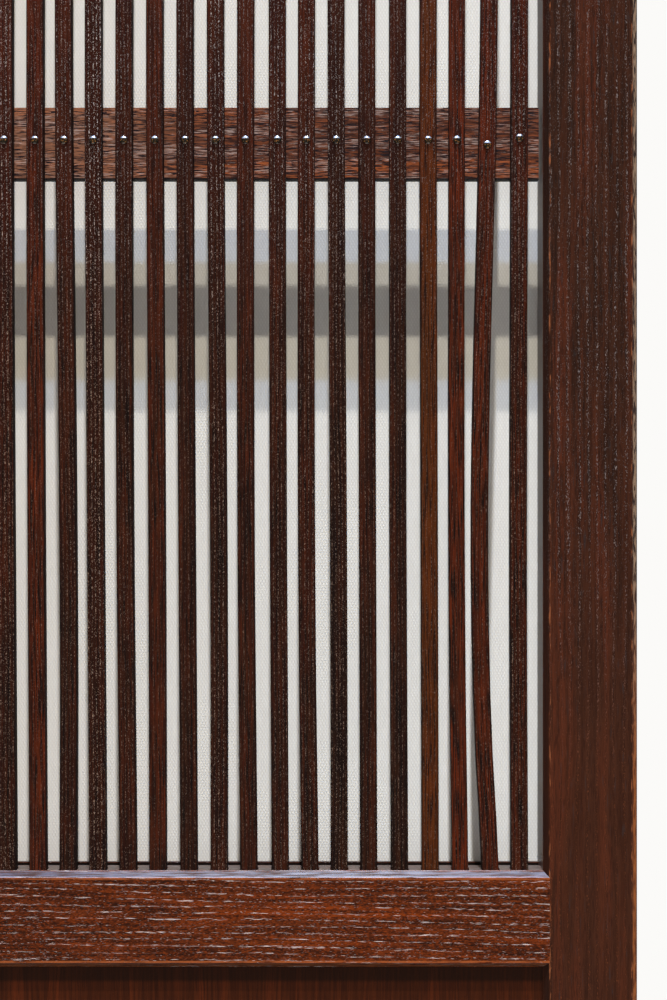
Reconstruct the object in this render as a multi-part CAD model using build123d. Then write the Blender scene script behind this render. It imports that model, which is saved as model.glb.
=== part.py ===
from build123d import *
import math
import os

# Sliding lattice screen with its paper insert, in its track frame. Millimetres.
# X runs along the track, Y from the lattice side to the room side, Z up.
# The origin is on the floor, in the middle of the frame's foot.

# The sliding leaf
leaf_height = 1818.0          # foot of the stiles to their top, tongues included
leaf_thickness = 36.4
stile_width = 47.3
rail_height = 48.5            # middle and top rail
bottom_rail_height = 60.6
skirt_height = 303.0          # foot of the leaf to the middle rail's top
arris = 3.0                   # 45 degree chamfer on the front edges
wall_depth = 21.2             # front of the leaf to the insert's rebate
rebate_width = 9.1            # how far the insert reaches behind stiles and rails

# Mortise and tenon joints of the leaf
tenon_length = 30.0
tenon_thickness = 9.0
tenon_setback = 11.6          # front of the leaf to the tenon's cheek
tenon_shoulder = 9.5          # rail's edge to the tenon's edge
joint_clearance = 0.1

# Lattice slats, counted from the right
slat_count = 38
slat_pitch = 15.15
slat_width = 8.6
slat_thickness = 5.0
slat_setback = 3.5            # front of the leaf to the slats' face
slat_margin = 11.6            # centre of an end slat to the stile's wall
slat_tenon = 6.0              # depth of a slat's end in its rail
slat_play = 0.3               # slat's end to the mortise wall
narrow_slats = {2: 0.5}       # slats planed thinner, by this much
# How far each slat's foot stands off its place, how far the slat leans sideways at the lowest batten,
# and how far it bends between the two.
slat_slip = [0.1, 0.7, 0.5, 0.6, 0.3, -0.1, 0.2, 0.7, 0.8,
             0.2, 0.3, 0.3, -0.2, 0.0, -0.1, 0.0, 0.1, 0.0]
slat_lean = [0.0, -1.0, -1.2, -0.5, -0.7, -1.1, -1.3, -1.3, -0.7,
             -1.6, -1.4, -1.7, -1.8, -2.2, -2.4, -2.1, -1.5, -1.9]
slat_bend = [-0.6, -4.7, -1.0, -0.1, -0.4, -0.2, 0.3, -0.9, -0.3,
             -0.7, 0.5, -0.1, 0.2, -0.6, -0.1, 0.9, -0.3, -0.2]
upper_lean = 0.5              # share of the lean that is left at the next batten up

# Battens nailed across the back of the slats
batten_count = 3
batten_height = 36.4
batten_thickness = 5.0
batten_end_gap = 1.2          # batten's end to the stile's wall

# Nails: a low six-sided head on a square shank
nail_head_radius = 1.85
nail_top_radius = 1.0
nail_head_height = 0.9
nail_shank = 1.2
nail_length = 9.0             # under the head
nail_clearance = 0.05
nail_rise = 0.6               # above the batten's middle
nail_slips = {0: 1.0, 1: -2.4}

# Groove along the lattice side of the middle and top rail
rail_groove_setback = 12.8
rail_groove_width = 6.4
rail_groove_depth = 4.0

# Skirt panel, loose in a groove all round
panel_thickness = 7.0
panel_setback = 3.6
panel_edge = 6.0              # part of the panel that is in the groove
panel_play = 1.0              # room for the panel to swell, at its sides and top
panel_clearance = 0.15

# Insert: L-section sticks, paper on their front ledge, kumiko behind the paper
insert_play = 0.3             # insert to its rebate, all round
stick_width = 15.0
leg_clear = 3.0               # stick's front leg to the line of the stile's wall
paper_setback = 29.5          # front of the leaf to the paper
paper_thickness = 0.5
paper_play = 0.3              # paper's edge to the stick's leg
kumiko_width = 6.0
kumiko_columns = 4
kumiko_rows = 10
pin_size = 2.0
pin_clearance = 0.05
pin_bite = 8.0                # length of a pin in the stile
pins_per_side = 3

# Finger pulls, cut in both faces of the right stile
pull_length = 76.0
pull_width = 20.0
pull_depth = 8.0
pull_level = 860.0            # foot of the leaf to the pull's middle

# Track frame
frame_depth = 121.2
post_width = 45.0
sill_height = 45.0
head_height = 45.0
frame_arris = 2.0
housing_depth = 6.0           # sill and head let into the posts
housing_clearance = 0.2
doorway_width = 636.0         # clear way beside the open leaf
track_width = 21.2
sill_track_depth = 3.0
head_track_depth = 15.2
head_lap = 8.0                # leaf's top in the head's track
tongue_thickness = 20.0
foot_rebate = 4.5             # height of the leaf's foot tongue
top_rebate = 15.2             # height of the leaf's top tongue
run_gap = 0.3                 # leaf's foot to the track
stop_gap = 0.3                # leaf's side to a post

# Places that follow from the sizes above
inner_width = (slat_count - 1) * slat_pitch + 2 * slat_margin
leaf_width = inner_width + 2 * stile_width
clear_width = leaf_width + doorway_width + 2 * stop_gap
leaf_left = stop_gap - clear_width / 2
leaf_right = leaf_left + leaf_width
wall_left = leaf_left + stile_width
wall_right = leaf_right - stile_width
leaf_front = -leaf_thickness / 2
leaf_back = leaf_thickness / 2
leaf_foot = sill_height - sill_track_depth + run_gap
leaf_top = leaf_foot + leaf_height
skirt_top = leaf_foot + skirt_height
skirt_bottom = leaf_foot + bottom_rail_height
lattice_bottom = skirt_top
lattice_top = leaf_top - rail_height
lattice_height = lattice_top - lattice_bottom
batten_levels = [lattice_bottom + lattice_height * (n + 1) / (batten_count + 1) for n in range(batten_count)]
head_bottom = leaf_top - head_lap
frame_height = head_bottom + head_height
slat_back = leaf_front + slat_setback + slat_thickness


def block(x, y, z):
    """A rectangular block, each axis given as its low and high end."""
    sizes = (x[1] - x[0], y[1] - y[0], z[1] - z[0])
    return Pos(x[0], y[0], z[0]) * Box(*sizes, align=(Align.MIN, Align.MIN, Align.MIN))


def grown(span, room):
    """A low and high end, both moved outwards."""
    return span[0] - room, span[1] + room


def depths(near, far):
    """Y span between two depths behind the leaf's front."""
    return leaf_front + near, leaf_front + far


# Stiles

def stile_blank(wall, outside):
    """A stile before its joints are cut, with both front edges chamfered."""
    bar = block(sorted((wall, outside)), (leaf_front, leaf_back), (leaf_foot, leaf_top))
    return chamfer(bar.edges().filter_by(Axis.Z).group_by(Axis.Y)[0], arris)


def left_blank():
    return stile_blank(wall_left, leaf_left)


def right_blank():
    return stile_blank(wall_right, leaf_right)


def tenon_spans(low, high):
    """Y and Z span of the tenon of a rail between two levels."""
    y = depths(tenon_setback, tenon_setback + tenon_thickness)
    return y, grown((low, high), -tenon_shoulder)


def rail_levels():
    return {
        "top_rail": (lattice_top, leaf_top),
        "middle_rail": (skirt_top - rail_height, skirt_top),
        "bottom_rail": (leaf_foot, skirt_bottom),
    }


def mortises(reach):
    """The mortises for the tenons of all rails, over a span in X."""
    cuts = []
    for low, high in rail_levels().values():
        y, z = tenon_spans(low, high)
        cuts.append(block(reach, grown(y, joint_clearance), grown(z, joint_clearance)))
    return cuts


def insert_pocket():
    """The rebate that the insert sits in, behind stiles and rails."""
    return block(
        (wall_left - rebate_width, wall_right + rebate_width),
        (leaf_front + wall_depth, leaf_back + 1),
        (lattice_bottom - rebate_width, lattice_top + rebate_width),
    )


def panel_groove():
    """The groove round the skirt panel."""
    room = panel_edge + panel_play
    return block(
        grown((wall_left, wall_right), room),
        grown(depths(panel_setback, panel_setback + panel_thickness), panel_clearance),
        (skirt_bottom - panel_edge, skirt_top - rail_height + room),
    )


def track_rebates():
    """What is cut off the leaf's foot and top, front and back, to leave a tongue for each track."""
    x = grown((leaf_left, leaf_right), 1)
    front = (leaf_front - 1, -tongue_thickness / 2)
    back = (tongue_thickness / 2, leaf_back + 1)
    foot = (leaf_foot - 1, leaf_foot + foot_rebate)
    top = (leaf_top - top_rebate, leaf_top + 1)
    return [block(x, y, z) for y in (front, back) for z in (foot, top)]


def pull_recesses():
    """Round-ended finger pulls in the front and the back of the right stile."""
    middle = (wall_right + rebate_width + leaf_right) / 2
    slot = Rot(90, 0, 0) * Rot(0, 0, 90) * SlotOverall(pull_length, pull_width)
    cuts = []
    for surface, inward in ((leaf_front, 1), (leaf_back, -1)):
        mouth = Pos(middle, surface - inward, leaf_foot + pull_level) * slot
        cuts.append(extrude(mouth, pull_depth + 1, dir=(0, inward, 0)))
    return cuts


def left_stile():
    joints = mortises((wall_left - tenon_length - joint_clearance, wall_left + 1)) + pin_cuts()
    return left_blank() - joints - [insert_pocket(), panel_groove()] - track_rebates()


def right_stile():
    joints = mortises((wall_right - 1, wall_right + tenon_length + joint_clearance)) + pin_cuts()
    body = right_blank() - joints - [insert_pocket(), panel_groove()] - track_rebates()
    return body - pull_recesses()


# Rails

def rail_blank(levels, chamfered):
    """A rail with its tenons, its ends coped over the chamfers of the stiles.

    chamfered names the front edges to take off, 0 for the lower and 1 for the upper.
    """
    low, high = levels
    bar = block(grown((wall_left, wall_right), arris), (leaf_front, leaf_back), levels)
    front_edges = bar.edges().filter_by(Axis.X).group_by(Axis.Y)[0].sort_by(Axis.Z)
    bar = chamfer([front_edges[n] for n in chamfered], arris)
    y, z = tenon_spans(low, high)
    tenons = block(grown((wall_left, wall_right), tenon_length), y, z)
    return bar - [left_blank(), right_blank()] + tenons


def slat_mortises(middles, z):
    """One shallow mortise for the end of each slat."""
    y = grown(depths(slat_setback, slat_setback + slat_thickness), slat_play)
    return [block(grown((x - slat_width / 2, x + slat_width / 2), slat_play), y, z) for x in middles]


def rail_groove(z):
    y = depths(rail_groove_setback, rail_groove_setback + rail_groove_width)
    return block((wall_left, wall_right), y, z)


def top_rail():
    low, high = rail_levels()["top_rail"]
    rail = rail_blank((low, high), [0]) - track_rebates() - insert_pocket()
    rail -= slat_mortises(slat_places(), (low - 1, low + slat_tenon))
    return rail - rail_groove((low - 1, low + rail_groove_depth))


def middle_rail():
    low, high = rail_levels()["middle_rail"]
    rail = rail_blank((low, high), [0, 1]) - insert_pocket() - panel_groove()
    feet = [place + slip_of(number) for number, place in enumerate(slat_places())]
    rail -= slat_mortises(feet, (high - slat_tenon, high + 1))
    return rail - rail_groove((high - rail_groove_depth, high + 1))


def bottom_rail():
    return rail_blank(rail_levels()["bottom_rail"], [1]) - track_rebates() - panel_groove()


def skirt_panel():
    """A thin board that stands on the floor of its groove."""
    return block(
        grown((wall_left, wall_right), panel_edge),
        depths(panel_setback, panel_setback + panel_thickness),
        (skirt_bottom - panel_edge, skirt_top - rail_height + panel_edge),
    )


# Lattice

def slat_places():
    """X of each slat's head, and of its foot if that doesn't slip, from the right."""
    return [wall_right - slat_margin - n * slat_pitch for n in range(slat_count)]


def lean_of(number):
    """Lean at the lowest batten. Past the last one given, it dies away towards the left stile."""
    known = len(slat_lean)
    if number < known:
        return slat_lean[number]
    return slat_lean[-1] * (slat_count - 1 - number) / (slat_count - known)


def bend_of(number):
    return slat_bend[number] if number < len(slat_bend) else 0.0


def slip_of(number):
    return slat_slip[number] if number < len(slat_slip) else 0.0


def slat_shift(number, batten):
    """How far a slat stands off its place at a batten."""
    return lean_of(number) * upper_lean ** batten


def slat_route(number):
    """Sideways shift and level of a slat's middle line, from its foot to its head."""
    halfway = (lattice_bottom + batten_levels[0]) / 2
    slip = slip_of(number)
    route = [(slip, lattice_bottom), ((slip + lean_of(number)) / 2 + bend_of(number), halfway)]
    route += [(slat_shift(number, n), level) for n, level in enumerate(batten_levels)]
    return route + [(0.0, lattice_top)]


def slat(number, place):
    """A bent slat: its outline in the lattice's plane, given its thickness, less its nail holes."""
    foot = place + slip_of(number)
    half = (slat_width - narrow_slats.get(number, 0.0)) / 2
    front = leaf_front + slat_setback
    low = lattice_bottom - slat_tenon
    high = lattice_top + slat_tenon
    edges = []
    for side in (-half, half):
        edges.append(Line((foot + side, front, low), (foot + side, front, lattice_bottom)))
        edges.append(Spline([(place + side + shift, front, level) for shift, level in slat_route(number)]))
        edges.append(Line((place + side, front, lattice_top), (place + side, front, high)))
    edges.append(Line((foot - half, front, low), (foot + half, front, low)))
    edges.append(Line((place - half, front, high), (place + half, front, high)))
    body = extrude(make_face(edges), slat_thickness, dir=(0, 1, 0))
    reach = (front - 1, front + slat_thickness + 1)
    return body - [nail_hole(x, z, reach) for x, z in nail_places(number, place)]


def batten(level):
    """A batten with a blind hole for the nail of each slat."""
    body = block(
        grown((wall_left, wall_right), -batten_end_gap),
        (slat_back, slat_back + batten_thickness),
        (level - batten_height / 2, level + batten_height / 2),
    )
    reach = (slat_back - 1, leaf_front + slat_setback + nail_length)
    near = [spot for spot in all_nail_places() if abs(spot[1] - level) < batten_height / 2]
    return body - [nail_hole(x, z, reach) for x, z in near]


# Nails

def nail_places(number, place):
    """X and Z of a slat's nails, one at each batten."""
    rise = nail_rise + nail_slips.get(number, 0.0)
    return [(place + slat_shift(number, n), level + rise) for n, level in enumerate(batten_levels)]


def all_nail_places():
    return [spot for number, place in enumerate(slat_places()) for spot in nail_places(number, place)]


def nail_hole(x, z, y):
    half = nail_shank / 2 + nail_clearance
    return block((x - half, x + half), y, (z - half, z + half))


def nail():
    """A nail that points along Y, with the underside of its head at Y = 0."""
    base = Rot(90, 0, 0) * RegularPolygon(nail_head_radius, 6)
    crown = Pos(0, -nail_head_height, 0) * Rot(90, 0, 0) * RegularPolygon(nail_top_radius, 6)
    half = nail_shank / 2
    return loft([base, crown]) + block((-half, half), (0, nail_length), (-half, half))


def nails():
    pattern = nail()
    front = leaf_front + slat_setback
    return Compound(children=[Pos(x, front, z) * pattern for x, z in all_nail_places()])


# Paper insert

def insert_outline(room):
    """X and Z span of the insert's rebate, less some room all round."""
    x = grown((wall_left, wall_right), rebate_width - room)
    z = grown((lattice_bottom, lattice_top), rebate_width - room)
    return x, z


def insert_window():
    """X and Z span inside the sticks."""
    return insert_outline(insert_play + stick_width)


def ledge_window(room):
    """X and Z span between the front legs of the sticks, less some room all round."""
    reach = leg_clear - room
    return grown((wall_left, wall_right), reach), grown((lattice_bottom, lattice_top), reach)


def insert_ring():
    """All four sticks in one: full depth round the outside, a ledge for the paper inside."""
    outer_x, outer_z = insert_outline(insert_play)
    inner_x, inner_z = insert_window()
    ledge_x, ledge_z = ledge_window(0)
    ring = block(outer_x, (leaf_front + wall_depth, leaf_back), outer_z)
    ledge = block(ledge_x, depths(wall_depth - 1, paper_setback + paper_thickness), ledge_z)
    return ring - ledge - block(inner_x, (leaf_front + wall_depth - 1, leaf_back + 1), inner_z)


def insert_upright(side):
    """The left (-1) or right (1) stick, over the insert's full height."""
    outer_x, outer_z = insert_outline(insert_play)
    inner_x, _ = insert_window()
    x = (outer_x[0], inner_x[0]) if side < 0 else (inner_x[1], outer_x[1])
    return (insert_ring() & block(x, (leaf_front, leaf_back), outer_z)) - pin_cuts()


def insert_crosspiece(side):
    """The lower (-1) or upper (1) stick, between the upright ones."""
    _, outer_z = insert_outline(insert_play)
    inner_x, inner_z = insert_window()
    z = (outer_z[0], inner_z[0]) if side < 0 else (inner_z[1], outer_z[1])
    return insert_ring() & block(inner_x, (leaf_front, leaf_back), z)


def kumiko_grid():
    """Half-lapped bars between the sticks, glued to the back of the paper."""
    (left, right), (low, high) = insert_window()
    y = (leaf_front + paper_setback + paper_thickness, leaf_back)
    half = kumiko_width / 2
    columns = [left + (right - left) * n / kumiko_columns for n in range(1, kumiko_columns)]
    rows = [low + (high - low) * n / kumiko_rows for n in range(1, kumiko_rows)]
    bars = [block((x - half, x + half), y, (low, high)) for x in columns]
    bars += [block((left, right), y, (z - half, z + half)) for z in rows]
    return bars[0] + bars[1:]


def paper():
    x, z = ledge_window(paper_play)
    return block(x, depths(paper_setback, paper_setback + paper_thickness), z)


def pin_places():
    """Level of each pin, and the middle of the stick's rear part in Y."""
    (_, _), (low, high) = insert_window()
    y = leaf_back - (leaf_thickness - paper_setback - paper_thickness) / 2
    return [(y, low + (high - low) * (n + 0.5) / pins_per_side) for n in range(pins_per_side)]


def pin_bars(half):
    """Square bars through the upright sticks into the stiles."""
    (left, right), _ = insert_window()
    spans = (wall_left - rebate_width - pin_bite, left), (right, wall_right + rebate_width + pin_bite)
    return [block(x, (y - half, y + half), (z - half, z + half)) for x in spans for y, z in pin_places()]


def pin_cuts():
    return pin_bars(pin_size / 2 + pin_clearance)


def pins():
    return Compound(children=pin_bars(pin_size / 2))


# Track frame

def track_bar(low, high, track):
    """Sill or head: from its plain side to the side with the track, whose long edges are chamfered."""
    start = -clear_width / 2 - housing_depth
    half = frame_depth / 2
    inward = math.copysign(frame_arris, high - low)
    outline = Polyline(
        (start, -half, low),
        (start, -half, high - inward),
        (start, frame_arris - half, high),
        (start, -track_width / 2, high),
        (start, -track_width / 2, high - track),
        (start, track_width / 2, high - track),
        (start, track_width / 2, high),
        (start, half - frame_arris, high),
        (start, half, high - inward),
        (start, half, low),
        close=True,
    )
    return extrude(make_face(outline), clear_width + 2 * housing_depth, dir=(1, 0, 0))


def sill():
    return track_bar(0, sill_height, sill_track_depth)


def head():
    return track_bar(frame_height, head_bottom, -head_track_depth)


def post(side):
    """Left (-1) or right (1) post, housed for the ends of the sill and the head."""
    inner = side * clear_width / 2
    outer = inner + side * post_width
    half = frame_depth / 2
    outline = Polyline(
        (inner, frame_arris - half),
        (inner + side * frame_arris, -half),
        (outer, -half),
        (outer, half),
        (inner + side * frame_arris, half),
        (inner, half - frame_arris),
        close=True,
    )
    body = extrude(make_face(outline), frame_height, dir=(0, 0, 1))
    housing = sorted((inner - side, inner + side * (housing_depth + housing_clearance)))
    across = grown((-half, half), 1)
    foot = block(housing, across, (-1, sill_height + housing_clearance))
    top = block(housing, across, (head_bottom - housing_clearance, frame_height + 1))
    return body - [foot, top]


def all_nodes():
    """Every piece of the screen by its name."""
    nodes = {
        "stile_left": left_stile(),
        "stile_right": right_stile(),
        "top_rail": top_rail(),
        "middle_rail": middle_rail(),
        "bottom_rail": bottom_rail(),
        "skirt_panel": skirt_panel(),
        "lattice_nails": nails(),
        "insert_stick_left": insert_upright(-1),
        "insert_stick_right": insert_upright(1),
        "insert_stick_bottom": insert_crosspiece(-1),
        "insert_stick_top": insert_crosspiece(1),
        "insert_pins": pins(),
        "kumiko_grid": kumiko_grid(),
        "paper": paper(),
        "sill": sill(),
        "head": head(),
        "post_left": post(-1),
        "post_right": post(1),
    }
    for number, level in enumerate(batten_levels):
        nodes[f"batten_{number + 1}"] = batten(level)
    for number, place in enumerate(slat_places()):
        nodes[f"slat_{number + 1:02d}"] = slat(number, place)
    return nodes


os.makedirs("parts", exist_ok=True)
for name, shape in all_nodes().items():
    export_step(shape, f"parts/{name}.step")
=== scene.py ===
import math
import random

import bpy
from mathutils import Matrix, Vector


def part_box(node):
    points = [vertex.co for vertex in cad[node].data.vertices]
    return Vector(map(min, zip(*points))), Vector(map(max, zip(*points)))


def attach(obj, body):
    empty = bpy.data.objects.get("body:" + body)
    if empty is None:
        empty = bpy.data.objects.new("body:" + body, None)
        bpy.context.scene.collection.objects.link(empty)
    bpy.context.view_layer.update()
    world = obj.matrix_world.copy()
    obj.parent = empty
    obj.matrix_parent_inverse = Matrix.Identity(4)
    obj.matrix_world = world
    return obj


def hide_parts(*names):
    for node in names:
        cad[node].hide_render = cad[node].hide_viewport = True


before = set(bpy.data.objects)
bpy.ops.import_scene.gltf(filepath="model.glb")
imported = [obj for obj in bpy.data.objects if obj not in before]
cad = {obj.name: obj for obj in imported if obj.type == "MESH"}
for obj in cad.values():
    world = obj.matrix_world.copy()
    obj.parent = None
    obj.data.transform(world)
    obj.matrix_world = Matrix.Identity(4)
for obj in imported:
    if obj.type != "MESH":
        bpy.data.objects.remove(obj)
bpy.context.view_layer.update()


# The view: a level camera close in front of the leaf's lower right part, about 70 cm from its lattice
# and 19 cm above the middle rail, so that the rail's upper chamfer and the batten's underside show.
leaf_low, leaf_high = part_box("stile_right")
front = leaf_low.y
side_step, distance, eye_level = 0.1525, 0.695, 0.5314
scene = bpy.context.scene
lens = bpy.data.cameras.new("photo_view")
lens.lens = 50.0
lens.sensor_width = 36.0
camera = bpy.data.objects.new("photo_view", lens)
camera.location = (leaf_high.x - side_step, front - distance, eye_level)
camera.rotation_euler = (math.pi / 2, 0.0, 0.0)
scene.collection.objects.link(camera)
scene.camera = camera
scene.view_settings.view_transform = "Standard"


# Stiles: two uprights of an open-pored hardwood, stained dark brown and lacquered half gloss, so that the
# pores stay open; the short pale dashes in them are painted highlights of the light they catch. Their front
# arrises are chamfered with a plane and rubbed through to the orange of the wood here and there. Painted
# shade lies on the chamfer towards the lattice, a painted reflection on the outer chamfer, and a painted
# grey sheen in soft smears.
def add_node(tree, kind, settings, values):
    """Adds a node to a tree, with its settings and the values or links of its sockets."""
    made = tree.nodes.new(kind)
    for key, value in (settings or {}).items():
        setattr(made, key, value)
    for key, value in (values or {}).items():
        if isinstance(value, bpy.types.NodeSocket):
            tree.links.new(value, made.inputs[key])
        else:
            made.inputs[key].default_value = value
    return made


class Field:
    """A number or colour that varies over a surface: one socket of a finish that is being laid."""

    def __init__(self, finish, socket):
        self.finish, self.socket = finish, socket

    def joined(self, operation, first, second):
        """The field that a Math node makes of two fields or numbers."""
        return self.finish.node("ShaderNodeMath", {"operation": operation}, {0: first, 1: second})

    def __add__(self, other):
        return self.joined("ADD", self, other)

    def __sub__(self, other):
        return self.joined("SUBTRACT", self, other)

    def __mul__(self, other):
        return self.joined("MULTIPLY", self, other)

    def __truediv__(self, other):
        return self.joined("DIVIDE", self, other)

    def __radd__(self, other):
        return self.joined("ADD", other, self)

    def __rsub__(self, other):
        return self.joined("SUBTRACT", other, self)

    def __rmul__(self, other):
        return self.joined("MULTIPLY", other, self)

    def most(self, other):
        """The larger of two."""
        return self.joined("MAXIMUM", self, other)

    def wave(self):
        """0 to 1 and back, once for each whole step of the field."""
        return self.joined("SINE", self * (2 * math.pi), 0.0) * 0.5 + 0.5

    def rise(self, low, high):
        """0 below low, 1 above high, smooth between."""
        limits = {"Value": self, "From Min": low, "From Max": high}
        return self.finish.node("ShaderNodeMapRange", {"interpolation_type": "SMOOTHSTEP"}, limits)

    def fall(self, low, high):
        """1 below low, 0 above high, smooth between."""
        return 1.0 - self.rise(low, high)

    def output(self, name):
        """Another output of the same node."""
        return Field(self.finish, self.socket.node.outputs[name])


class Finish:
    """A finish that is being laid: the nodes of one material, or of the world."""

    def __init__(self, owner):
        owner.use_nodes = True
        self.owner, self.tree = owner, owner.node_tree
        self.tree.nodes.clear()

    def node(self, kind, settings=None, values=None, out=0):
        """Adds a node and gives one of its outputs as a field. Its values may be fields too."""
        plain = {key: value.socket if isinstance(value, Field) else value
                 for key, value in (values or {}).items()}
        made = add_node(self.tree, kind, settings, plain)
        return Field(self, made.outputs[out]) if made.outputs else None

    def mix(self, amount, first, second):
        """A colour between two others."""
        return self.node("ShaderNodeMix", {"data_type": "RGBA"}, {0: amount, 6: first, 7: second}, out=2)

    def noise(self, spot, sizes, detail=2.0):
        """Soft noise, 0 to 1, its features as large as the sizes."""
        steps = self.node("ShaderNodeVectorMath", {"operation": "DIVIDE"}, {0: spot, 1: sizes})
        return self.node("ShaderNodeTexNoise", None, {"Vector": steps, "Scale": 1.0, "Detail": detail})

    def strewn(self, spot, sizes):
        """Distance to the nearest of many strewn points, with a Color output that is random for each."""
        steps = self.node("ShaderNodeVectorMath", {"operation": "DIVIDE"}, {0: spot, 1: sizes})
        return self.node("ShaderNodeTexVoronoi", None, {"Vector": steps, "Scale": 1.0})

    def parts(self, vector):
        """The three numbers of a vector."""
        split = self.node("ShaderNodeSeparateXYZ", None, {0: vector})
        return split, split.output("Y"), split.output("Z")

    def spot(self, across, depth, length):
        """Three numbers joined to one vector."""
        return self.node("ShaderNodeCombineXYZ", None, {0: across, 1: depth, 2: length})

    def place(self):
        """Object coordinates in millimetres."""
        x, y, z = self.parts(self.node("ShaderNodeTexCoord", out="Object"))
        return x * 1000.0, y * 1000.0, z * 1000.0

    def carried(self, name, out="Fac"):
        """An attribute of the mesh."""
        return self.node("ShaderNodeAttribute", {"attribute_name": name}, out=out)

    def lay(self, colour, roughness, height=None, depth=0.0001, **constants):
        """Closes the finish with its surface. The height is a share of the depth, in metres."""
        values = {name.replace("_", " "): value for name, value in constants.items()}
        values.update({"Base Color": colour, "Roughness": roughness})
        if height is not None:
            values["Normal"] = self.node("ShaderNodeBump", None, {"Height": height, "Distance": depth})
        surface = self.node("ShaderNodeBsdfPrincipled", None, values)
        self.node("ShaderNodeOutputMaterial", None, {0: surface})
        return self.owner


def stain(red, green, blue):
    """A colour as the eye reads it, 0 to 255, on the render's own scale."""
    shares = [level / 255 for level in (red, green, blue)]
    return [v / 12.92 if v <= 0.04045 else ((v + 0.055) / 1.055) ** 2.4 for v in shares] + [1.0]


def open_pored(finish, across, depth, length, tones, ring, pore, speck, pale, fleck, seed=0.0):
    """Stained open-pored wood. Gives its colour, its pores from 0 to 1, and its height.

    Across, depth and length are the place in mm, with length along the grain. tones are the dark, middle
    and red stain, ring the width and the wander of the growth rings in mm, pore and speck the width,
    length, share and paleness of the large and the small pores, pale their colour, fleck the length of
    the fine dark flecks, and seed moves the pattern on, so that no two pieces are alike.
    """
    ring_width, wander = ring
    plain = finish.spot(across + seed, depth + seed * 3.7, length + seed * 11.3)
    drift = (finish.noise(plain, (35.0, 35.0, 170.0)) - 0.5) * (wander * 5.0)
    ripple = (finish.noise(plain, (7.0, 7.0, 24.0)) - 0.5) * wander
    bent = across + seed + drift + ripple
    grain = finish.spot(bent, depth + seed * 3.7, length + seed * 11.3)
    spread = finish.noise(grain, (ring_width * 3, ring_width * 3, 200.0)) * 1.6
    rings = (bent / ring_width + depth * (0.35 / ring_width) + spread).wave()
    rows = rings.rise(0.74, 0.96)
    streak = finish.noise(grain, (1.3, 1.3, 45.0), detail=3.0)
    broad = finish.noise(grain, (10.0, 10.0, 160.0))
    flecks = finish.noise(grain, (0.45, 0.45, fleck))
    dark, middle, red = tones
    colour = finish.mix(streak.rise(0.38, 0.62), dark, middle)
    colour = finish.mix(broad.rise(0.46, 0.66) * streak.rise(0.3, 0.56), colour, red)
    colour = finish.mix(rings.fall(0.05, 0.4) * 0.3, colour, dark)
    colour = finish.mix(flecks.fall(0.38, 0.5) * 0.6, colour, pore_black)
    open_pores = None
    for (width, run, share, paleness), row_share in ((pore, 0.95), (speck, 0.4)):
        cell = finish.strewn(grain, (width, width, run))
        chance, shine, _ = finish.parts(cell.output("Color"))
        rim = (chance - (1.0 - share)) * (0.85 / share) * (rows * row_share + (1.0 - row_share))
        hole = 1.0 - (cell / rim.most(0.001)).rise(0.45, 1.0)
        colour = finish.mix(hole * ((shine * 0.7 + 0.3) * paleness), colour, pale)
        open_pores = hole if open_pores is None else open_pores.most(hole)
    height = streak * 0.3 - open_pores
    return colour, open_pores, height


def facing(finish):
    """The three parts of the surface's normal."""
    return finish.parts(finish.node("ShaderNodeNewGeometry", out="Normal"))


def lacquer(finish):
    """Gloss of the faces that no hand wears: those that look along the screen or up, and no chamfer."""
    _, inward, _ = facing(finish)
    return (1.0 - inward * inward).rise(0.6, 0.9)


def near_line(first, second, line, reach):
    """1 on a line that runs along the grain, 0 beyond its reach in mm."""
    step_one = first - line[0]
    step_two = second - line[1]
    return (step_one * step_one + step_two * step_two).fall(0.0, reach * reach)


mm = 0.001
# width of the chamfers and place of the leaf's front, in mm, as the finishes need them
arris, front_face = 3.0, front / mm
wood_gloss = dict(Specular_IOR_Level=0.03, Coat_Roughness=0.42)
pore_black = stain(24, 13, 10)
stile_tones = (stain(42, 23, 15), stain(54, 30, 20), stain(70, 33, 20))
stile_pore_highlight, red_speck = stain(158, 146, 144), stain(120, 66, 40)
painted_grey_sheen, painted_wall_shade = stain(40, 42, 44), stain(30, 17, 13)
worn_orange, worn_red = stain(150, 88, 55), stain(84, 40, 22)
reflection_dark, reflection_pale = stain(44, 34, 32), stain(146, 120, 98)
low_orange_dark, low_orange_pale = stain(96, 50, 26), stain(150, 86, 44)


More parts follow.
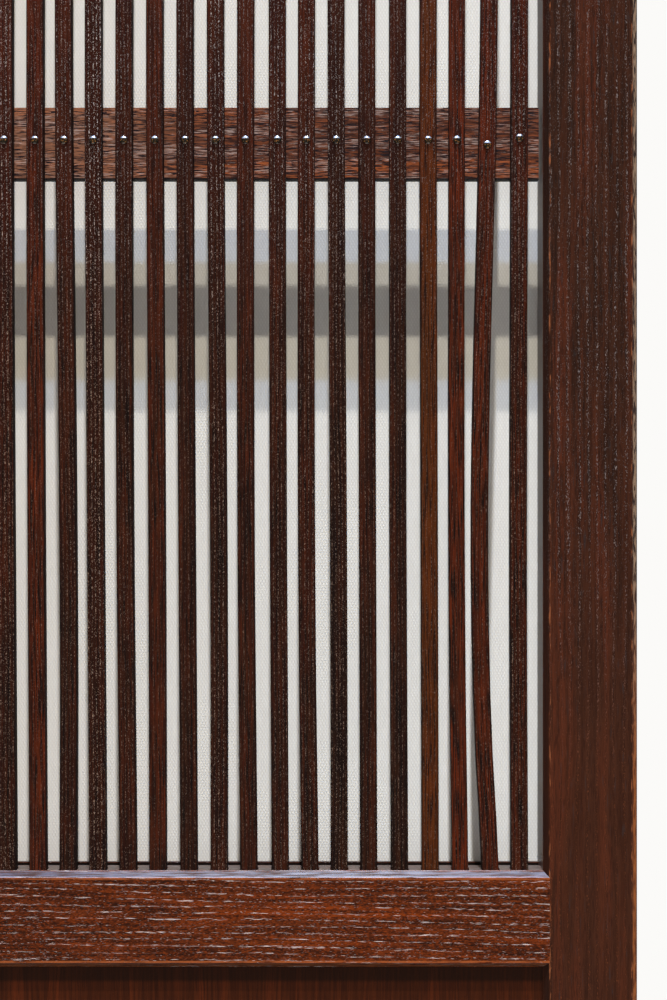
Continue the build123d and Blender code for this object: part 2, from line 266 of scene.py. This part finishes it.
def stile_wood(node):
    """Finish of one stile: painted shade on the chamfer towards the lattice, a painted reflection on the
    outer one.
    """
    low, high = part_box(node)
    wall, outside = (low.x / mm, high.x / mm) if node == "stile_right" else (high.x / mm, low.x / mm)
    inward = math.copysign(arris, outside - wall)
    finish = Finish(bpy.data.materials.new(node + "_wood"))
    x, y, z = finish.place()
    # The pores' pale colour is a painted highlight: reddish low down, pale grey higher up.
    painted_pore_highlights = finish.mix(z.rise(380.0, 560.0), red_speck, stile_pore_highlight)
    colour, pores, height = open_pored(
        finish, x, y, z, stile_tones, ring=(4.6, 1.0), pore=(0.32, 1.1, 0.6, 0.5),
        speck=(0.3, 0.8, 0.4, 0.45), pale=painted_pore_highlights, fleck=7.0, seed=3.0 if node == "stile_right" else 71.0)
    # Painted sheen: soft grey-blue smears of reflected light along the grain.
    sheen_noise = finish.noise(finish.spot(x, y, z), (0.9, 0.9, 12.0))
    colour = finish.mix(sheen_noise.rise(0.6, 0.75) * 0.5, colour, painted_grey_sheen)
    flame = finish.noise(finish.spot(x, y, z), (6.0, 6.0, 120.0), detail=3.0)
    colour = finish.mix(flame.rise(0.45, 0.7) * 0.2 + z.fall(360.0, 560.0) * 0.15, colour, worn_red)
    patches = finish.noise(finish.spot(x, y, z), (1.4, 1.4, 7.0), detail=3.0)
    # Painted shade on the chamfer towards the lattice.
    painted_shade_mask = near_line(x, y, (wall + inward / 2, front_face + arris / 2), reach=2.6)
    colour = finish.mix(painted_shade_mask * 0.75, colour, painted_wall_shade)
    for edge in (wall + inward, outside - inward):
        worn = near_line(x, y, (edge, front_face), reach=0.7) * patches.rise(0.5, 0.72)
        colour = finish.mix(worn * 0.8, colour, worn_orange)
    # Painted reflection on the outer chamfer, beige-grey in patches, passing to orange-brown towards the
    # bottom.
    outer = near_line(x, y, (outside - inward / 2, front_face + arris / 2), reach=2.2)
    outer_reflection_and_low_orange = finish.mix(patches.rise(0.42, 0.56), reflection_dark, reflection_pale)
    low_orange = finish.mix(patches.rise(0.35, 0.6), low_orange_dark, low_orange_pale)
    outer_reflection_and_low_orange = finish.mix(z.fall(380.0, 520.0), outer_reflection_and_low_orange, low_orange)
    colour = finish.mix(outer * 0.9, colour, outer_reflection_and_low_orange)
    return finish.lay(colour, 0.42 + pores * 0.2, height, Coat_Weight=lacquer(finish), **wood_gloss)


def dress(node, material):
    """Gives a CAD node its finish in place of its plain colour."""
    slots = cad[node].data.materials
    slots.clear()
    slots.append(material)


for stile in ("stile_left", "stile_right"):
    dress(stile, stile_wood(stile))


# Rails: the same wood with a thinner, redder stain, its grain level. The long, nearly white dashes in the
# pores are painted highlights, of light from above in the lower lip of each pore. The chamfers carry
# painted sheen over painted shade and a thin painted highlight along their front edges, the level top a
# painted reflection, and the groove behind the slats painted shade.
# The ends are coped over the stiles' chamfers.
rail_tones = (stain(56, 24, 11), stain(86, 37, 15), stain(114, 47, 14))
painted_dash_highlight, red_grit = stain(202, 184, 180), stain(132, 56, 20)
painted_chamfer_shade, painted_lower_sheen, painted_upper_sheen = stain(40, 24, 22), stain(98, 58, 35), stain(36, 36, 62)
worn_edge, painted_cool_glint = stain(158, 84, 44), stain(106, 124, 152)
painted_top_reflection, painted_groove_shade = stain(58, 56, 54), stain(30, 22, 20)
grain_slope = 0.012


def rail_wood(node, chamfered, seed):
    """Finish of one rail. Each chamfered edge is a height in mm, with 1 if it looks up and -1 if down."""
    _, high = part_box(node)
    finish = Finish(bpy.data.materials.new(node + "_wood"))
    x, y, z = finish.place()
    # The pale dashes of the pores are painted highlights.
    colour, pores, height = open_pored(
        finish, z + x * grain_slope, y, x, rail_tones, ring=(3.4, 1.0), pore=(0.29, 5.0, 0.8, 0.95),
        speck=(0.28, 1.6, 0.35, 0.6), pale=painted_dash_highlight, fleck=2.6, seed=seed)
    grit = finish.noise(finish.spot(z, y, x), (0.45, 0.45, 1.3), detail=1.0)
    colour = finish.mix(grit.rise(0.52, 0.68) * (1.0 - pores) * 0.45, colour, red_grit)
    colour = finish.mix(grit.fall(0.32, 0.46) * (1.0 - pores) * 0.5, colour, pore_black)
    # Painted shade in the groove along the back of the rail's top.
    groove_shade_mask = z.fall(high.z / mm - 0.6, high.z / mm - 0.2) * y.rise(front_face + 10.0, front_face + 11.0)
    colour = finish.mix(groove_shade_mask, colour, painted_groove_shade)
    patches = finish.noise(finish.spot(z, y, x), (0.8, 0.8, 12.0), detail=3.0)
    for edge, up in chamfered:
        # Each chamfer: painted sheen in patches over painted shade.
        slope = near_line(z, y, (edge + up * arris / 2, front_face + arris / 2), reach=2.4)
        painted_sheen = finish.mix(patches.rise(0.35, 0.6), painted_chamfer_shade, painted_upper_sheen if up > 0 else painted_lower_sheen)
        colour = finish.mix(slope * 0.85, colour, painted_sheen)
        worn = near_line(z, y, (edge - up * 0.4, front_face), reach=0.8) * patches.rise(0.3, 0.55)
        colour = finish.mix(worn * 0.65, colour, worn_edge)
        # Painted highlight: a thin bluish line along each chamfer's front edge, strongest on the upper
        # chamfer.
        painted_glint = near_line(z, y, (edge + up * 0.3, front_face + 0.3), reach=0.4) * patches.rise(0.3, 0.5)
        colour = finish.mix(painted_glint * (0.45 if up > 0 else 0.1), colour, painted_cool_glint)
    _, _, upward = facing(finish)
    # Painted reflection: faces that look up are greyed.
    colour = finish.mix(upward.rise(0.9, 0.97) * 0.75, colour, painted_top_reflection)
    gloss = upward.rise(0.4, 0.65) * patches.rise(0.2, 0.8) * 0.7
    gloss = gloss.most(lacquer(finish) * 0.5)
    return finish.lay(colour, 0.4 + pores * 0.2, height, Coat_Weight=gloss, **wood_gloss)


# each rail with its chamfered edges, 0 the lower and 1 the upper, and the seed of its grain
rail_sides = (("top_rail", (0,), 40.0), ("middle_rail", (0, 1), 5.0), ("bottom_rail", (1,), 90.0))
for node, sides, seed in rail_sides:
    rail_low, rail_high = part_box(node)
    edges = ((rail_low.z / mm + arris, -1), (rail_high.z / mm - arris, 1))
    dress(node, rail_wood(node, [edges[side] for side in sides], seed))


# Skirt panel: a thin board with its grain upright, loose in the grooves of rails and stiles, stained almost
# black-brown with redder streaks. It is painted a little lighter near the top, and a painted shadow of the
# rail lies close under the rail.
panel_tones = (stain(42, 20, 11), stain(60, 28, 14), stain(78, 34, 16))
painted_light_top, painted_rail_shadow = stain(104, 46, 22), stain(24, 14, 9)
panel_wood = Finish(bpy.data.materials.new("panel_wood"))
x, y, z = panel_wood.place()
colour, pores, height = open_pored(
    panel_wood, x, y, z, panel_tones, ring=(4.2, 0.8), pore=(0.4, 4.0, 0.25, 0.2),
    speck=(0.35, 1.4, 0.1, 0.2), pale=worn_red, fleck=14.0, seed=17.0)
rail_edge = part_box("middle_rail")[0].z / mm
# Painted light: a little lighter towards the rail, where the rail's shade falls.
colour = panel_wood.mix(z.rise(rail_edge - 60.0, rail_edge - 25.0) * 0.12, colour, painted_light_top)
# Painted shadow of the rail, close under it.
colour = panel_wood.mix(z.rise(rail_edge - 8.7, rail_edge - 6.2) * 0.7, colour, painted_rail_shadow)
dress("skirt_panel", panel_wood.lay(colour, 0.4 + pores * 0.2, height, **wood_gloss))


# Lattice: 38 thin upright slats, planed by hand from a dark-stained wood, each end in a shallow mortise of
# its rail. None is
# quite straight: each leans and bends in its own way. They are drawn along the middle lines of the CAD
# slats, with their arrises taken off, and their stain differs from slat to slat. Their pores carry painted
# highlights, a painted glow lies towards their tops, and painted shade on their sides and front edges.
slat_nodes = sorted(name for name in cad if name.startswith("slat_"))
slat_setback, slat_width, slat_thickness, slat_arris = 3.5 * mm, 8.6 * mm, 5.0 * mm, 0.45 * mm
slat_front = front + slat_setback
# redness, lightness and share of painted pore highlights, each 0 to 1, of the slats from the right
slat_stains = [
    (0.45, 0.55, 0.45), (0.75, 0.45, 0.2), (0.85, 0.45, 0.05), (0.9, 0.95, 0.15), (0.1, 0.2, 0.25),
    (0.2, 0.35, 0.18), (0.05, 0.35, 0.5), (0.3, 0.45, 0.4), (0.25, 0.35, 0.4), (0.35, 0.3, 0.12),
    (0.2, 0.35, 0.6), (0.15, 0.3, 0.18), (0.45, 0.35, 0.08), (0.25, 0.35, 0.3), (0.3, 0.5, 1.0),
    (0.25, 0.5, 0.35), (0.85, 0.5, 0.15), (0.35, 0.45, 0.7)]
chance = random.Random(11)
while len(slat_stains) < len(slat_nodes):
    slat_stains.append((chance.uniform(0.1, 0.9), chance.uniform(0.2, 0.6), chance.uniform(0.15, 0.9)))


def slat_lines(node):
    """Middle line of a CAD slat from its foot to its head, its width, and its nail holes' centres."""
    ends = {}
    for vertex in cad[node].data.vertices:
        ends.setdefault(round(vertex.co.z, 5), []).append(vertex.co.x)
    width = max(max(spread) - min(spread) for spread in ends.values())
    route, hole_edges = [], []
    for level, spread in sorted(ends.items()):
        spot = ((max(spread) + min(spread)) / 2, level)
        (route if max(spread) - min(spread) > width / 2 else hole_edges).append(spot)
    holes = [(low[0], (low[1] + high[1]) / 2) for low, high in zip(hole_edges[::2], hole_edges[1::2])]
    return route, max(ends[route[0][1]]) - min(ends[route[0][1]]), holes


def route_mesh():
    """All middle lines in one mesh, with the traits of each slat on its points."""
    points, links, traits = [], [], []
    for number, node in enumerate(slat_nodes):
        route, width, _ = slat_lines(node)
        first = len(points)
        points += [(across, slat_front + slat_thickness / 2, level) for across, level in route]
        links += [(n, n + 1) for n in range(first, len(points) - 1)]
        traits += [(slat_stains[number], width / slat_width, float(number))] * len(route)
    mesh = bpy.data.meshes.new("slat_routes")
    mesh.from_pydata(points, links, [])
    tones, breadths, numbers = zip(*traits)
    flat = [level for tone in tones for level in tone]
    mesh.attributes.new("stain", "FLOAT_VECTOR", "POINT").data.foreach_set("vector", flat)
    mesh.attributes.new("breadth", "FLOAT", "POINT").data.foreach_set("value", breadths)
    mesh.attributes.new("number", "FLOAT", "POINT").data.foreach_set("value", numbers)
    return mesh


class Pattern:
    """A geometry tree with named inputs, and its result as a plain mesh."""

    def __init__(self, name, sizes):
        self.tree = bpy.data.node_groups.new(name, "GeometryNodeTree")
        self.sizes, self.sockets = sizes, {}
        face = self.tree.interface
        face.new_socket("Geometry", in_out="INPUT", socket_type="NodeSocketGeometry")
        for title, value in sizes.items():
            kind = {float: "Float", int: "Int", bpy.types.Material: "Material"}[type(value)]
            made = face.new_socket(title, in_out="INPUT", socket_type="NodeSocket" + kind)
            self.sockets[title] = made.identifier
        face.new_socket("Geometry", in_out="OUTPUT", socket_type="NodeSocketGeometry")
        self.given = self.tree.nodes.new("NodeGroupInput")

    def size(self, title):
        """A named input of the pattern."""
        return next(socket for socket in self.given.outputs if socket.name == title)

    def step(self, kind, settings=None, values=None):
        """Adds a node and gives its first output."""
        return add_node(self.tree, kind, settings, values).outputs[0]

    def maths(self, operation, first, second):
        """What a Math node makes of two numbers."""
        return self.step("ShaderNodeMath", {"operation": operation}, {0: first, 1: second})

    def made_from(self, mesh, name):
        """Ends the tree, runs it on a mesh and gives the result as a new object."""
        real = self.step("GeometryNodeRealizeInstances", None, {0: self.last})
        dressed = self.step("GeometryNodeSetMaterial", None, {0: real, 2: self.size("Finish")})
        self.tree.links.new(dressed, self.tree.nodes.new("NodeGroupOutput").inputs[0])
        pattern = bpy.data.objects.new(name + "_pattern", mesh)
        scene.collection.objects.link(pattern)
        modifier = pattern.modifiers.new("pattern", "NODES")
        modifier.node_group = self.tree
        for title, value in self.sizes.items():
            modifier[self.sockets[title]] = value
        seen = pattern.evaluated_get(bpy.context.evaluated_depsgraph_get())
        result = bpy.data.objects.new(name, bpy.data.meshes.new_from_object(seen))
        result.data.name = name
        scene.collection.objects.link(result)
        pattern.modifiers.remove(modifier)
        bpy.data.objects.remove(pattern)
        return result


slat_tones = (stain(17, 10, 8), stain(39, 21, 12), stain(54, 24, 12))
vein_dark, vein_red = stain(34, 14, 8), stain(92, 34, 13)
light_brown, dark_vein = stain(74, 38, 12), stain(14, 9, 8)
filled_pore, painted_top_glow = stain(22, 11, 8), stain(98, 42, 32)
warm_pore_highlight, cool_pore_highlight, pale_pore = stain(178, 148, 130), stain(186, 174, 170), stain(176, 170, 168)
painted_side_shade, painted_edge_shade = stain(14, 9, 9), stain(18, 12, 12)
slat_wood = Finish(bpy.data.materials.new("slat_wood"))
x, y, z = slat_wood.place()
redness, lightness, pore_highlight_share = slat_wood.parts(slat_wood.carried("stain", out="Vector"))
across = x - slat_wood.carried("middle") / mm
number = slat_wood.carried("number")
# each slat takes its grain from another place in the wood, this far on in mm
step_across, step_along = 23.0, 57.0
own_across, own_length = across + number * step_across, z + number * step_along
colour, pores, height = open_pored(
    slat_wood, own_across, y, own_length, slat_tones, ring=(2.0, 0.4), pore=(0.34, 0.8, 0.75, 0.0),
    speck=(0.3, 0.5, 0.6, 0.0), pale=pale_pore, fleck=4.0)
own_spot = slat_wood.spot(own_across, y, own_length)
veins = slat_wood.noise(own_spot, (0.55, 0.55, 16.0), detail=3.0)
glow = slat_wood.noise(own_spot, (4.0, 4.0, 60.0))
red_wood = slat_wood.mix(veins.rise(0.4, 0.6), vein_dark, vein_red)
tinted = slat_wood.mix(redness * (glow.rise(0.3, 0.7) * 0.6 + 0.3), colour, red_wood)
tinted = slat_wood.mix(lightness.rise(0.6, 1.0) * (veins.rise(0.35, 0.65) * 0.5 + 0.2), tinted, light_brown)
tinted = slat_wood.mix(veins.fall(0.34, 0.46) * 0.7, tinted, dark_vein)
tinted = slat_wood.mix(pore_highlight_share * 0.35, tinted, filled_pore)
# Painted glow: lighter and redder towards the top.
tinted = slat_wood.mix(z.rise(540.0, 800.0) * 0.08, tinted, painted_top_glow)
# Painted highlights in the pores, warm low down, cooler and stronger higher up.
shine = slat_wood.noise(own_spot, (0.5, 0.5, 1.2), detail=1.0)
painted_glint = pores * (pore_highlight_share * 0.8 + 0.15) * shine.rise(0.35, 0.6) * (z.rise(500.0, 760.0) * 0.4 + 0.8)
speck = slat_wood.mix(z.rise(560.0, 760.0), warm_pore_highlight, cool_pore_highlight)
tinted = slat_wood.mix(painted_glint, tinted, speck)
sideways, _, _ = facing(slat_wood)
# Painted shade on the slats' sides.
tinted = slat_wood.mix((sideways * sideways).rise(0.4, 0.8) * 0.85, tinted, painted_side_shade)
half_width = slat_width / mm / 2
# Painted shade along both front edges of each slat.
right_edge = near_line(across, y, (half_width, slat_front / mm), reach=0.6)
left_edge = near_line(across, y, (-half_width, slat_front / mm), reach=0.6)
tinted = slat_wood.mix(right_edge.most(left_edge) * 0.7, tinted, painted_edge_shade)
slat_finish = slat_wood.lay(tinted, 0.4 + pores * 0.2, height, **wood_gloss)

planing = Pattern("slats_along_routes", {
    "Width": slat_width, "Thickness": slat_thickness, "Arris": slat_arris, "Steps": 48,
    "Finish": slat_finish})
lines = planing.step("GeometryNodeMeshToCurve", None, {0: planing.size("Geometry")})
lines = planing.step("GeometryNodeCurveSplineType", {"spline_type": "BEZIER"}, {0: lines})
lines = planing.step("GeometryNodeCurveSetHandles", {"handle_type": "AUTO"}, {0: lines})
lines = planing.step("GeometryNodeResampleCurve", None, {0: lines, "Count": planing.size("Steps")})
lines = planing.step("GeometryNodeSetCurveNormal", {"mode": "FREE"}, {0: lines, "Normal": (0.0, 1.0, 0.0)})
here = planing.step("GeometryNodeInputPosition")
middle = planing.step("ShaderNodeSeparateXYZ", None, {0: here})
lines = planing.step("GeometryNodeStoreNamedAttribute", {"data_type": "FLOAT"},
                     {0: lines, "Name": "middle", "Value": middle})
section = planing.step("GeometryNodeCurvePrimitiveQuadrilateral", None,
                       {"Width": planing.size("Thickness"), "Height": planing.size("Width")})
section = planing.step("GeometryNodeFilletCurve", {"mode": "POLY"},
                       {0: section, "Count": 2, "Radius": planing.size("Arris")})
bars = planing.step("GeometryNodeCurveToMesh", None,
                    {0: lines, "Profile Curve": section, "Fill Caps": True})
kept = planing.step("GeometryNodeInputNamedAttribute", {"data_type": "FLOAT"}, {0: "middle"})
breadth = planing.step("GeometryNodeInputNamedAttribute", {"data_type": "FLOAT"}, {0: "breadth"})
off_middle = planing.maths("SUBTRACT", planing.step("ShaderNodeSeparateXYZ", None, {0: here}), kept)
narrowing = planing.maths("MULTIPLY", off_middle, planing.maths("SUBTRACT", breadth, 1.0))
offset = planing.step("ShaderNodeCombineXYZ", None, {"X": narrowing})
planing.last = planing.step("GeometryNodeSetPosition", None, {0: bars, "Offset": offset})
slats = planing.made_from(route_mesh(), "slats")
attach(slats, "leaf")
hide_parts(*slat_nodes)


# Battens: three thin boards across the back of the slats, left in a lighter brown, with dark wavy streaks
# and greyish bands along their grain. They are lighter towards their left ends, and painted shade lies on
# their undersides and lower front edges.
battens = ("batten_1", "batten_2", "batten_3")
_, batten_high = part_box("batten_1")
batten_tones = (stain(76, 40, 26), stain(122, 66, 41), stain(146, 76, 41))
lighter_left, grey_stain = stain(162, 112, 86), stain(128, 104, 96)
dark_line, pale_line = stain(34, 24, 26), stain(172, 150, 142)
painted_underside_shade, painted_foot_shade = stain(14, 10, 12), stain(16, 12, 14)
batten_wood = Finish(bpy.data.materials.new("batten_wood"))
x, y, z = batten_wood.place()
colour, pores, height = open_pored(
    batten_wood, z, y, x, batten_tones, ring=(5.0, 1.6), pore=(0.5, 6.0, 0.25, 0.3),
    speck=(0.4, 2.0, 0.2, 0.3), pale=pale_pore, fleck=6.0, seed=23.0)
# Lighter towards the left end.
towards_left = x.fall(batten_high.x / mm - 240.0, batten_high.x / mm - 150.0)
colour = batten_wood.mix(towards_left * 0.45, colour, lighter_left)
grey_band = batten_wood.noise(batten_wood.spot(z, y, x), (5.0, 5.0, 60.0))
colour = batten_wood.mix(grey_band.rise(0.5, 0.68) * 0.35, colour, grey_stain)
fine_line = batten_wood.noise(batten_wood.spot(z, y, x), (0.4, 0.4, 6.0), detail=3.0)
colour = batten_wood.mix(fine_line.rise(0.51, 0.57), colour, dark_line)
colour = batten_wood.mix(fine_line.fall(0.38, 0.45) * grey_band.rise(0.4, 0.6) * 0.75, colour, pale_line)
_, _, upward = facing(batten_wood)
# Painted shade on the faces that look down.
colour = batten_wood.mix(upward.fall(-0.9, -0.5), colour, painted_underside_shade)
for node in battens:
    batten_low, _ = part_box(node)
    # Painted shade along each batten's lower front edge.
    foot_shade_mask = near_line(z, y, (batten_low.z / mm, batten_low.y / mm), reach=1.2)
    colour = batten_wood.mix(foot_shade_mask, colour, painted_foot_shade)
batten_finish = batten_wood.lay(colour, 0.5 + pores * 0.15, height, Specular_IOR_Level=0.06)
for node in battens:
    dress(node, batten_finish)


# Nails: a small domed steel nail through each slat into each batten, driven by hand, so that the heads sit
# a little tilted.
# Their colour is a painted reflection: bright above, dark with warm spots below, and pale along the lowest
# rim.
painted_lit_steel, painted_dark_steel = stain(196, 208, 234), stain(38, 36, 30)
painted_warm_spot, painted_rim_reflection = stain(170, 112, 60), stain(186, 178, 170)
nail_steel = Finish(bpy.data.materials.new("nail_steel"))
_, _, up = nail_steel.parts(nail_steel.carried("head_at", out="Vector"))
blotch = nail_steel.noise(nail_steel.spot(*nail_steel.place()), (0.6, 0.6, 0.6))
# Painted reflection: the head is painted bright above and dark below, its lowest rim pale.
painted_dark_share = (up + (blotch - 0.5) * 0.3).fall(0.3, 0.5)
rim = up.fall(-0.93, -0.75)
metal = nail_steel.mix(painted_dark_share, painted_lit_steel, painted_dark_steel)
metal = nail_steel.mix(painted_dark_share * blotch.rise(0.56, 0.66), metal, painted_warm_spot)
metal = nail_steel.mix(rim, metal, painted_rim_reflection)
nail_finish = nail_steel.lay(metal, 0.32 + painted_dark_share * 0.1, Metallic=1.0)

head_radius, head_height, shank_length, shank_radius = 2.05 * mm, 1.0 * mm, 9.0 * mm, 0.6 * mm
most_tilt = 0.1
nail_spots = [(across, slat_front, level) for node in slat_nodes for across, level in slat_lines(node)[2]]
nail_mesh = bpy.data.meshes.new("nail_spots")
nail_mesh.from_pydata(nail_spots, [], [])
nailing = Pattern("nails_on_spots", {
    "Head radius": head_radius, "Head height": head_height, "Shank radius": shank_radius,
    "Shank length": shank_length, "Tilt": most_tilt, "Seed": 7, "Finish": nail_finish})
ball = nailing.step("GeometryNodeMeshUVSphere", None, {"Segments": 14, "Rings": 8, "Radius": 1.0})
ball = nailing.step("GeometryNodeTransform", None, {0: ball, "Rotation": (math.pi / 2, 0.0, 0.0)})
here = nailing.step("GeometryNodeInputPosition")
ball = nailing.step("GeometryNodeStoreNamedAttribute", {"data_type": "FLOAT_VECTOR"},
                    {0: ball, "Name": "head_at", "Value": here})
split = nailing.step("ShaderNodeSeparateXYZ", None, {0: here}).node.outputs
outward = nailing.maths("MINIMUM", split["Y"], 0.0)
domed = nailing.step("ShaderNodeCombineXYZ", None, {
    "X": nailing.maths("MULTIPLY", split["X"], nailing.size("Head radius")),
    "Y": nailing.maths("MULTIPLY", outward, nailing.size("Head height")),
    "Z": nailing.maths("MULTIPLY", split["Z"], nailing.size("Head radius"))})
head = nailing.step("GeometryNodeSetPosition", None, {0: ball, "Position": domed})
head = nailing.step("GeometryNodeSetShadeSmooth", None, {0: head})
shank = nailing.step("GeometryNodeMeshCylinder", None, {
    "Vertices": 6, "Radius": nailing.size("Shank radius"), "Depth": nailing.size("Shank length")})
half_shank = nailing.maths("MULTIPLY", nailing.size("Shank length"), 0.5)
middle = nailing.step("ShaderNodeCombineXYZ", None, {"Y": half_shank})
shank = nailing.step("GeometryNodeTransform", None, {
    0: shank, "Translation": middle, "Rotation": (math.pi / 2, 0.0, 0.0)})
nail = nailing.step("GeometryNodeJoinGeometry")
for part in (head, shank):
    nailing.tree.links.new(part, nail.node.inputs[0])
tilt = nailing.size("Tilt")
lean = nailing.maths("MULTIPLY", tilt, -1.0)
turn = nailing.step("FunctionNodeRandomValue", {"data_type": "FLOAT_VECTOR"}, {
    0: nailing.step("ShaderNodeCombineXYZ", None, {"X": lean, "Z": lean}),
    1: nailing.step("ShaderNodeCombineXYZ", None, {"X": tilt, "Z": tilt}), "Seed": nailing.size("Seed")})
nailing.last = nailing.step("GeometryNodeInstanceOnPoints", None, {
    0: nailing.size("Geometry"), "Instance": nail, "Rotation": turn})
nails = nailing.made_from(nail_mesh, "nails")
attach(nails, "leaf")
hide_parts("lattice_nails")


# Paper insert: an off-white sheet with a fine slanting weave, glued on a light grid of bars, in a frame of
# four sticks that pins hold in the leaf's rebate. The sheet is painted warmer and darker towards its left,
# for the light that falls there.
# The wood is a plain brown-stained softwood.
smooth_depth = 0.08 * mm
paper_grey, paper_white, painted_warm_light = stain(241, 236, 229), stain(253, 249, 243), stain(228, 214, 199)
paper = Finish(bpy.data.materials.new("shoji_paper"))
x, y, z = paper.place()
weave_step, weave_slope = 1.6, 0.55
slant = ((x + z * weave_slope) / weave_step).wave() * ((x - z * weave_slope) / weave_step).wave()
fibres = paper.noise(paper.spot(x, y, z), (2.0, 2.0, 9.0), detail=4.0)
clouds = paper.noise(paper.spot(x, y, z), (60.0, 60.0, 60.0))
tone = slant * 0.35 + fibres * 0.4 + clouds * 0.25
colour = paper.mix(tone.rise(0.2, 0.75), paper_grey, paper_white)
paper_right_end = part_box("paper")[1].x / mm
# Painted light: warmer and darker towards the left of the sheet.
colour = paper.mix(x.fall(paper_right_end - 330.0, paper_right_end - 60.0) * 0.55, colour, painted_warm_light)
dress("paper", paper.lay(colour, 0.9, slant * 0.5 + fibres, smooth_depth, Specular_IOR_Level=0.15))


def softwood(name, along, tones, seed):
    """Finish of planed softwood: soft grain lines along one axis, hardly any pores."""
    finish = Finish(bpy.data.materials.new(name))
    x, y, z = finish.place()
    across, length = (z, x) if along == "x" else (x, z)
    colour, pores, height = open_pored(
        finish, across, y, length, tones, ring=(2.2, 0.7), pore=(0.4, 3.0, 0.2, 0.25),
        speck=(0.3, 1.5, 0.15, 0.2), pale=pale_pore, fleck=9.0, seed=seed)
    return finish.lay(colour, 0.5 + pores * 0.1, height, smooth_depth, Specular_IOR_Level=0.1)


insert_tones = (stain(40, 26, 19), stain(58, 38, 27), stain(68, 41, 27))
upright_finish = softwood("insert_upright_wood", "z", insert_tones, 9.0)
level_finish = softwood("insert_level_wood", "x", insert_tones, 31.0)
for node in ("insert_stick_left", "insert_stick_right", "kumiko_grid"):
    dress(node, upright_finish)
for node in ("insert_stick_bottom", "insert_stick_top", "insert_pins"):
    dress(node, level_finish)


# Track frame: sill and head with the grooves that the leaf slides in, housed into two posts, all of the
# stiles' wood and stain, a little duller.
frame_tones = (stain(38, 21, 15), stain(54, 30, 21), stain(68, 33, 20))
rough_depth = 0.12 * mm
for along, members in (("x", ("sill", "head")), ("z", ("post_left", "post_right"))):
    for number, node in enumerate(members):
        finish = Finish(bpy.data.materials.new(node + "_wood"))
        x, y, z = finish.place()
        across, length = (z, x) if along == "x" else (x, z)
        colour, pores, height = open_pored(
            finish, across, y, length, frame_tones, ring=(3.0, 1.4), pore=(0.5, 2.4, 0.6, 0.5),
            speck=(0.4, 1.1, 0.25, 0.4), pale=pale_pore, fleck=7.0, seed=120.0 + 40.0 * number)
        dress(node, finish.lay(colour, 0.45 + pores * 0.2, height, rough_depth, **wood_gloss))


# Floor: pale, and only there to carry the screen's shadow. Away from the screen it passes into the white of
# the backdrop, but only to the eye: the light that it throws back stays that of a plain grey floor.
def seen_by_eye(finish):
    """1 for what is seen straight, in a reflection or through something, and 0 for stray light."""
    rays = finish.node("ShaderNodeLightPath")
    return rays.most(rays.output("Is Glossy Ray")).most(rays.output("Is Transmission Ray"))


floor_half = 4.0
pale_wall = (0.965, 0.956, 0.938, 1.0)
floor_grey, floor_light = stain(137, 136, 134), stain(144, 143, 141)
# how far from the middle, in mm, the floor begins and ends to pass into the white
shadow_reach_x, shadow_reach_y = (850.0, 1500.0), (420.0, 700.0)
floor_mesh = bpy.data.meshes.new("floor")
floor_mesh.from_pydata([(-floor_half, -floor_half, 0), (floor_half, -floor_half, 0),
                        (floor_half, floor_half, 0), (-floor_half, floor_half, 0)], [], [(0, 1, 2, 3)])
floor = bpy.data.objects.new("floor", floor_mesh)
scene.collection.objects.link(floor)
floor_paint = Finish(bpy.data.materials.new("floor_paint"))
x, y, z = floor_paint.place()
mottle = floor_paint.noise(floor_paint.spot(x, y, z), (300.0, 300.0, 300.0), detail=3.0)
pale_floor = floor_paint.mix(mottle, floor_grey, floor_light)
painted = floor_paint.node("ShaderNodeBsdfPrincipled", None, {
    "Base Color": pale_floor, "Roughness": 1.0, "Specular IOR Level": 0.0})
white = floor_paint.node("ShaderNodeEmission", None, {"Color": pale_wall, "Strength": 1.0})
far_x = (x * x).rise(shadow_reach_x[0] ** 2, shadow_reach_x[1] ** 2)
far_y = (y * y).rise(shadow_reach_y[0] ** 2, shadow_reach_y[1] ** 2)
share = far_x.most(far_y) * seen_by_eye(floor_paint)
shown = floor_paint.node("ShaderNodeMixShader", None, {0: share, 1: painted, 2: white})
floor_paint.node("ShaderNodeOutputMaterial", None, {0: shown})
floor_mesh.materials.append(floor_paint.owner)


# Light: three small lamps high above the camera, a blue one between two warm ones, all in the camera's own
# upright plane, so that the slats hide their own shadows while each batten throws three on the paper, one
# below the other. An even pale surround fills the shadows.
lamp_width, lamp_height, aim_level = 0.05, 0.025, 0.6
aim = Vector((camera.location.x, 0.0, aim_level))


def lamp(name, height, colour, power):
    """A small lamp straight above the camera, aimed at the lattice, that doesn't fade with distance."""
    light = bpy.data.lights.new(name, "AREA")
    light.shape = "RECTANGLE"
    light.size = lamp_width
    light.size_y = lamp_height
    light.color = colour
    light.energy = 1.0
    shine = Finish(light)
    steady = shine.node("ShaderNodeLightFalloff", None, {"Strength": power}, out="Constant")
    glow = shine.node("ShaderNodeEmission", None, {"Strength": steady})
    shine.node("ShaderNodeOutputLight", None, {0: glow})
    holder = bpy.data.objects.new(name, light)
    holder.location = (camera.location.x, camera.location.y, height)
    holder.rotation_euler = (aim - holder.location).to_track_quat("-Z", "Y").to_euler()
    holder.visible_camera = False
    scene.collection.objects.link(holder)
    return holder


lamp("high_lamp", 4.58, (1.0, 0.96, 0.84), 13.6)
lamp("blue_lamp", 4.04, (0.31, 0.55, 1.0), 9.9)
lamp("low_lamp", 3.28, (1.0, 0.95, 0.79), 10.3).visible_glossy = False

world = Finish(bpy.data.worlds.new("studio"))
scene.world = world.owner
warm_fill = (1.0, 0.965, 0.935, 1.0)
surround = world.node("ShaderNodeBackground", None, {"Color": warm_fill, "Strength": 0.81})
backdrop = world.node("ShaderNodeBackground", None, {"Color": pale_wall, "Strength": 1.0})
both = world.node("ShaderNodeMixShader", None, {0: seen_by_eye(world), 1: surround, 2: backdrop})
world.node("ShaderNodeOutputWorld", None, {0: both})
